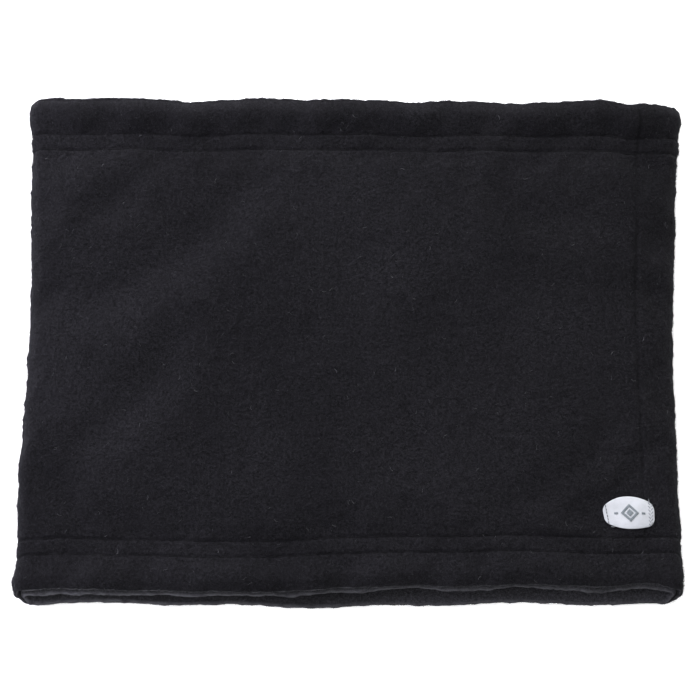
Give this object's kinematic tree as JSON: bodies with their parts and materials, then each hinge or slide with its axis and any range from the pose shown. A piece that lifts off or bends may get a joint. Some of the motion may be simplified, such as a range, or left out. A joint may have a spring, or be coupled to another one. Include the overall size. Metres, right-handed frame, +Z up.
{
  "type": "neck gaiter",
  "caption": "Near-black two-layer fleece neck tube lying flat, with twin-needle stitched hems at both ends, a side seam and a small white sewn-on label.",
  "frame": {"origin": "centre of the base, on the surface that the tube lies on", "axes": "+X across the flat tube towards the labelled side seam, +Y along the tube to its upper rim, +Z up out of its front"},
  "size_m": [0.254, 0.1916, 0.0207],
  "materials": {
    "shell_fleece": "brushed near-black fleece, matt with a faint bluish sheen",
    "lining_fleece": "brushed near-black fleece, matt",
    "black_thread": "spun polyester thread, slight sheen",
    "label_cloth": "fine woven white label, satin",
    "label_thread": "grey thread, slight sheen",
    "care_cloth": "thin white satin tape, blank"
  },
  "bodies": {
    "root": {"outer_shell": "shell_fleece", "inner_lining": "lining_fleece", "top_hem_needle_thread_first": "black_thread", "top_hem_needle_thread_second": "black_thread", "bottom_hem_needle_thread_second": "black_thread", "bottom_hem_needle_thread_first": "black_thread", "top_hem_looper_thread": "black_thread", "bottom_hem_looper_thread": "black_thread", "top_rim_seam_thread": "black_thread", "bottom_rim_seam_thread": "black_thread", "shell_side_seam_thread": "black_thread", "lining_side_seam_thread": "black_thread", "logo_label": "label_cloth", "logo_label_stitch_left": "label_thread", "logo_label_stitch_right": "label_thread", "care_label": "care_cloth"}
  },
  "joints": []
}
